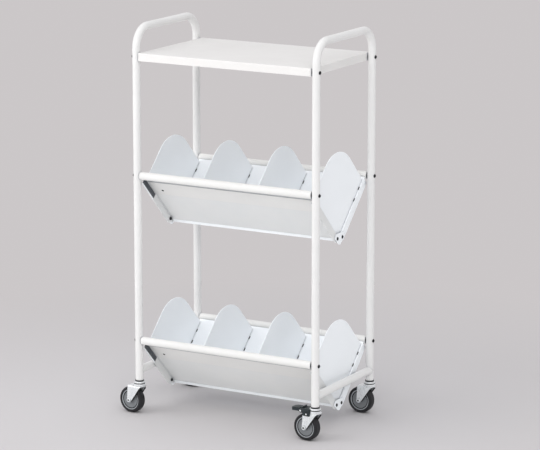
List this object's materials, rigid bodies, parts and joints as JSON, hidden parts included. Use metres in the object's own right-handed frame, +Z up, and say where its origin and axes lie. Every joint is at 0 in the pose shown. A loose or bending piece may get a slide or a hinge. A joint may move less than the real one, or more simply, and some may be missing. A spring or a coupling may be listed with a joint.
{
  "type": "medical chart cart",
  "caption": "Chart cart: bent tube end frames on swivel casters carry a flat top shelf and V-shaped troughs with dome-topped divider plates.",
  "frame": {"origin": "on the floor, in the middle of the cart's footprint with its casters as they stand", "axes": "+Z up, +X along the troughs to the right end, -Y toward the front"},
  "size_m": [0.6522, 0.359, 1.108],
  "materials": {
    "frame_paint": "white semi-gloss powder coat",
    "panel_paint": "white semi-gloss powder coat",
    "plate_paint": "cool white semi-gloss powder coat",
    "zinc": "bright zinc plate",
    "socket_plastic": "black moulded plastic",
    "brake_plastic": "dark slate moulded plastic",
    "hub_plastic": "mid grey moulded plastic",
    "tyre_rubber": "black rubber"
  },
  "bodies": {
    "cart": {"left_end_frame": "frame_paint", "right_end_frame": "frame_paint", "top_shelf": "frame_paint", "lower_front_side": "panel_paint", "lower_rear_side": "panel_paint", "lower_left_end_plate": "plate_paint", "lower_left_divider": "plate_paint", "lower_right_divider": "plate_paint", "lower_right_end_plate": "plate_paint", "lower_left_bracket": "frame_paint", "lower_right_bracket": "frame_paint", "upper_front_side": "panel_paint", "upper_rear_side": "panel_paint", "upper_left_end_plate": "plate_paint", "upper_left_divider": "plate_paint", "upper_right_divider": "plate_paint", "upper_right_end_plate": "plate_paint", "upper_left_bracket": "frame_paint", "upper_right_bracket": "frame_paint", "lower_front_left_bolt": "zinc", "lower_front_right_bolt": "zinc", "lower_rear_left_bolt": "zinc", "lower_rear_right_bolt": "zinc", "upper_front_left_bolt": "zinc", "upper_front_right_bolt": "zinc", "upper_rear_left_bolt": "zinc", "upper_rear_right_bolt": "zinc", "shelf_front_left_bolt": "zinc", "shelf_front_right_bolt": "zinc", "shelf_rear_left_bolt": "zinc", "shelf_rear_right_bolt": "zinc", "front_left_leg_socket": "socket_plastic", "front_right_leg_socket": "socket_plastic", "rear_left_leg_socket": "socket_plastic", "rear_right_leg_socket": "socket_plastic", "front_left_caster_stem": "zinc", "front_right_caster_stem": "zinc", "rear_left_caster_stem": "zinc", "rear_right_caster_stem": "zinc"},
    "front_left_swivel": {"front_left_fork": "zinc", "front_left_axle": "zinc"},
    "front_right_swivel": {"front_right_fork": "zinc", "front_right_axle": "zinc", "front_right_brake_housing": "brake_plastic"},
    "rear_left_swivel": {"rear_left_fork": "zinc", "rear_left_axle": "zinc", "rear_left_brake_housing": "brake_plastic"},
    "rear_right_swivel": {"rear_right_fork": "zinc", "rear_right_axle": "zinc"},
    "front_left_wheel": {"front_left_wheel_hub": "hub_plastic", "front_left_tyre": "tyre_rubber"},
    "front_right_wheel": {"front_right_wheel_hub": "hub_plastic", "front_right_tyre": "tyre_rubber"},
    "rear_left_wheel": {"rear_left_wheel_hub": "hub_plastic", "rear_left_tyre": "tyre_rubber"},
    "rear_right_wheel": {"rear_right_wheel_hub": "hub_plastic", "rear_right_tyre": "tyre_rubber"},
    "front_right_pedal": {"front_right_brake_pedal": "brake_plastic"},
    "rear_left_pedal": {"rear_left_brake_pedal": "brake_plastic"}
  },
  "joints": [
    {"name": "front_left_swivel_turn", "type": "hinge", "parent": "cart", "child": "front_left_swivel", "pos_m": [-0.25518, -0.16126, 0.088], "axis": [0, 0, 1], "continuous": true},
    {"name": "front_right_swivel_turn", "type": "hinge", "parent": "cart", "child": "front_right_swivel", "pos_m": [0.30982, -0.16126, 0.088], "axis": [0, 0, 1], "continuous": true},
    {"name": "rear_left_swivel_turn", "type": "hinge", "parent": "cart", "child": "rear_left_swivel", "pos_m": [-0.25518, 0.15724, 0.088], "axis": [0, 0, 1], "continuous": true},
    {"name": "rear_right_swivel_turn", "type": "hinge", "parent": "cart", "child": "rear_right_swivel", "pos_m": [0.30982, 0.15724, 0.088], "axis": [0, 0, 1], "continuous": true},
    {"name": "front_left_wheel_spin", "type": "hinge", "parent": "front_left_swivel", "child": "front_left_wheel", "pos_m": [-0.28103, -0.15854, 0.0375], "axis": [0.1045, 0.9945, 0], "continuous": true},
    {"name": "front_right_wheel_spin", "type": "hinge", "parent": "front_right_swivel", "child": "front_right_wheel", "pos_m": [0.28392, -0.15899, 0.0375], "axis": [0.0872, 0.9962, 0], "continuous": true},
    {"name": "rear_left_wheel_spin", "type": "hinge", "parent": "rear_left_swivel", "child": "rear_left_wheel", "pos_m": [-0.28111, 0.15906, 0.0375], "axis": [0.0698, 0.9976, 0], "continuous": true},
    {"name": "rear_right_wheel_spin", "type": "hinge", "parent": "rear_right_swivel", "child": "rear_right_wheel", "pos_m": [0.28384, 0.15815, 0.0375], "axis": [0.0349, 0.9994, 0], "continuous": true},
    {"name": "front_right_pedal_press", "type": "hinge", "parent": "front_right_swivel", "child": "front_right_pedal", "pos_m": [0.27326, -0.15806, 0.085], "axis": [-0.0872, -0.9962, 0], "range_deg": [0, 20]},
    {"name": "rear_left_pedal_press", "type": "hinge", "parent": "rear_left_swivel", "child": "rear_left_pedal", "pos_m": [-0.29179, 0.1598, 0.085], "axis": [-0.0698, -0.9976, 0], "range_deg": [0, 20]}
  ]
}
